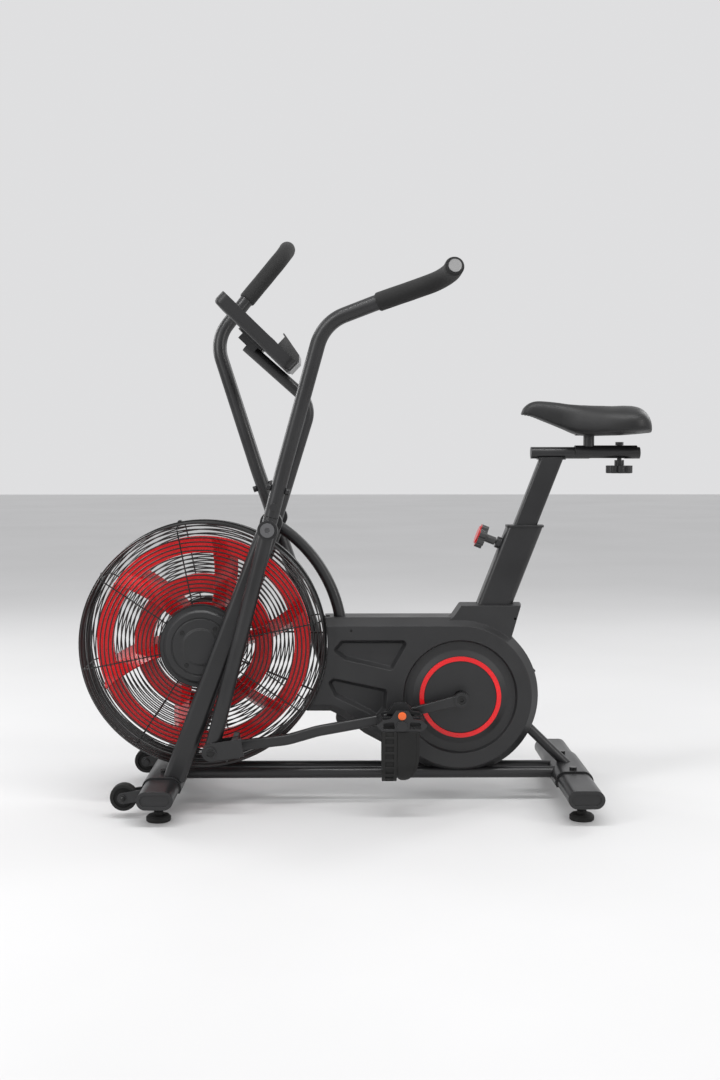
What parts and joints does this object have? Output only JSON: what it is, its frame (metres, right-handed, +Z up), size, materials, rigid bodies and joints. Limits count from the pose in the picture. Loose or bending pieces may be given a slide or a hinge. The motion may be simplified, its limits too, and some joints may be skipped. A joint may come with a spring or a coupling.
{
  "type": "air bike",
  "caption": "Air bike with a caged red fan wheel, belt housing, swinging arms rodded to the cranks, cage pedals and a sliding saddle.",
  "frame": {"origin": "middle of the footprint, on the floor", "axes": "+X from the fan to the saddle, +Y to the rider's right, +Z up"},
  "size_m": [1.2525, 0.628, 1.2765],
  "materials": {
    "frame_paint": "fine-textured satin charcoal powder coat",
    "guard_wire": "satin black coated wire",
    "housing_plastic": "finely textured moulding",
    "cover_plastic": "satin moulding",
    "knob": "satin lobed knob with a red face",
    "red_fan": "glossy red",
    "red_trim": "glossy red",
    "steel": "plain turned steel",
    "pulley": "cast and turned",
    "belt": "ribbed belt",
    "rubber_feet": "matt moulded rubber",
    "grip_foam": "dense foam",
    "strap": "flexible moulded strap",
    "saddle_vinyl": "fine-grained black vinyl",
    "screen": "clear window over a grey display",
    "smoke_plastic": "smoky",
    "button": "soft key"
  },
  "bodies": {
    "frame": {"stabilisers": "frame_paint", "stabiliser_end_caps": "cover_plastic", "base_plates": "frame_paint", "base_rails": "frame_paint", "uprights": "frame_paint", "pivot_axle": "frame_paint", "frame_spine": "frame_paint", "bottom_bracket": "frame_paint", "rear_strut": "frame_paint", "wheel_brackets": "frame_paint", "seat_tube": "frame_paint", "seat_tube_collar": "cover_plastic", "left_housing": "housing_plastic", "right_housing": "housing_plastic", "trim_rings": "red_trim", "left_guard": "guard_wire", "right_guard": "guard_wire", "guard_rim": "guard_wire", "hub_covers": "cover_plastic", "fan_axle": "steel", "drive_belt": "belt", "console_mast": "frame_paint", "console_case": "cover_plastic", "console_screen": "screen", "console_tray": "smoke_plastic", "frame_screws": "steel"},
    "fan": {"fan_wheel": "red_fan", "fan_hub": "steel", "fan_bearings": "steel"},
    "crank": {"crank_axle": "steel", "crank_arms": "frame_paint", "drive_pulley": "pulley", "pedal_spindles": "steel"},
    "left_pedal_body": {"left_pedal": "cover_plastic", "left_pedal_strap": "strap"},
    "right_pedal_body": {"right_pedal": "cover_plastic", "right_pedal_strap": "strap"},
    "left_arm": {"left_lower_arm": "frame_paint", "left_handlebar": "frame_paint", "left_grip": "grip_foam", "left_grip_cap": "cover_plastic"},
    "right_arm": {"right_lower_arm": "frame_paint", "right_handlebar": "frame_paint", "right_grip": "grip_foam", "right_grip_cap": "cover_plastic"},
    "left_rod_body": {"left_rod": "frame_paint"},
    "right_rod_body": {"right_rod": "frame_paint"},
    "seat_post_body": {"seat_post": "frame_paint"},
    "saddle_body": {"seat_carriage": "frame_paint", "saddle": "saddle_vinyl"},
    "clamp_knob": {"seat_clamp_knob": "cover_plastic"},
    "pin_knob": {"seat_pin_knob": "knob"},
    "left_wheel": {"left_transport_wheel": "rubber_feet"},
    "right_wheel": {"right_transport_wheel": "rubber_feet"},
    "front_left_foot_body": {"front_left_foot": "rubber_feet"},
    "front_right_foot_body": {"front_right_foot": "rubber_feet"},
    "rear_left_foot_body": {"rear_left_foot": "rubber_feet"},
    "rear_right_foot_body": {"rear_right_foot": "rubber_feet"},
    "mode_button": {"console_mode_button": "button"},
    "reset_button": {"console_reset_button": "button"}
  },
  "joints": [
    {"name": "crank_spin", "type": "hinge", "parent": "frame", "child": "crank", "pos_m": [0.21, 0, 0.234], "axis": [0, 1, 0], "continuous": true},
    {"name": "fan_spin", "type": "hinge", "parent": "frame", "child": "fan", "pos_m": [-0.355, 0, 0.352], "axis": [0, 1, 0], "continuous": true},
    {"name": "left_pedal_spin", "type": "hinge", "parent": "crank", "child": "left_pedal_body", "pos_m": [0.07587, 0, 0.20155], "axis": [0, 1, 0], "continuous": true},
    {"name": "right_pedal_spin", "type": "hinge", "parent": "crank", "child": "right_pedal_body", "pos_m": [0.34413, 0, 0.26645], "axis": [0, 1, 0], "continuous": true},
    {"name": "left_arm_swing", "type": "hinge", "parent": "frame", "child": "left_arm", "pos_m": [-0.205, 0, 0.609], "axis": [0, 1, 0], "range_deg": [-33.67, 0]},
    {"name": "right_arm_swing", "type": "hinge", "parent": "frame", "child": "right_arm", "pos_m": [-0.205, 0, 0.609], "axis": [0, 1, 0], "range_deg": [0, 33.67]},
    {"name": "left_rod_swing", "type": "hinge", "parent": "left_arm", "child": "left_rod_body", "pos_m": [-0.32653, 0, 0.1405], "axis": [0, 1, 0], "range_deg": [0, 25.94]},
    {"name": "right_rod_swing", "type": "hinge", "parent": "right_arm", "child": "right_rod_body", "pos_m": [-0.04637, 0, 0.15173], "axis": [0, 1, 0], "range_deg": [-25.94, 0]},
    {"name": "seat_post_slide", "type": "slide", "parent": "frame", "child": "seat_post_body", "axis": [0.36, 0, 0.933], "range_m": [-0.12, 0.08]},
    {"name": "seat_fore_aft", "type": "slide", "parent": "seat_post_body", "child": "saddle_body", "axis": [1, 0, 0], "range_m": [-0.025, 0.005]},
    {"name": "seat_clamp_turn", "type": "hinge", "parent": "saddle_body", "child": "clamp_knob", "pos_m": [0.563, 0, 0.73], "axis": [0, 0, 1], "continuous": true},
    {"name": "seat_pin_pull", "type": "slide", "parent": "frame", "child": "pin_knob", "axis": [-0.933, 0, 0.36], "range_m": [0, 0.01], "stiffness_N_per_m": 1500},
    {"name": "left_transport_spin", "type": "hinge", "parent": "frame", "child": "left_wheel", "pos_m": [-0.511, -0.166, 0.045], "axis": [0, 1, 0], "continuous": true},
    {"name": "right_transport_spin", "type": "hinge", "parent": "frame", "child": "right_wheel", "pos_m": [-0.511, 0.166, 0.045], "axis": [0, 1, 0], "continuous": true},
    {"name": "front_left_foot_screw", "type": "hinge", "parent": "frame", "child": "front_left_foot_body", "pos_m": [-0.435, -0.19, 0], "axis": [0, 0, 1], "continuous": true},
    {"name": "front_right_foot_screw", "type": "hinge", "parent": "frame", "child": "front_right_foot_body", "pos_m": [-0.435, 0.19, 0], "axis": [0, 0, 1], "continuous": true},
    {"name": "rear_left_foot_screw", "type": "hinge", "parent": "frame", "child": "rear_left_foot_body", "pos_m": [0.455, -0.19, 0], "axis": [0, 0, 1], "continuous": true},
    {"name": "rear_right_foot_screw", "type": "hinge", "parent": "frame", "child": "rear_right_foot_body", "pos_m": [0.455, 0.19, 0], "axis": [0, 0, 1], "continuous": true},
    {"name": "mode_button_press", "type": "slide", "parent": "frame", "child": "mode_button", "axis": [-0.6944, 0, -0.7196], "range_m": [0, 0.0015], "stiffness_N_per_m": 400},
    {"name": "reset_button_press", "type": "slide", "parent": "frame", "child": "reset_button", "axis": [-0.6944, 0, -0.7196], "range_m": [0, 0.0015], "stiffness_N_per_m": 400}
  ],
  "couplings": [
    {"joint": "fan_spin", "follows": "crank_spin", "ratio": 7.1588},
    {"joint": "right_arm_swing", "follows": "left_arm_swing", "ratio": -1},
    {"joint": "left_rod_swing", "follows": "left_arm_swing", "ratio": -0.77},
    {"joint": "right_rod_swing", "follows": "left_arm_swing", "ratio": 0.77}
  ]
}
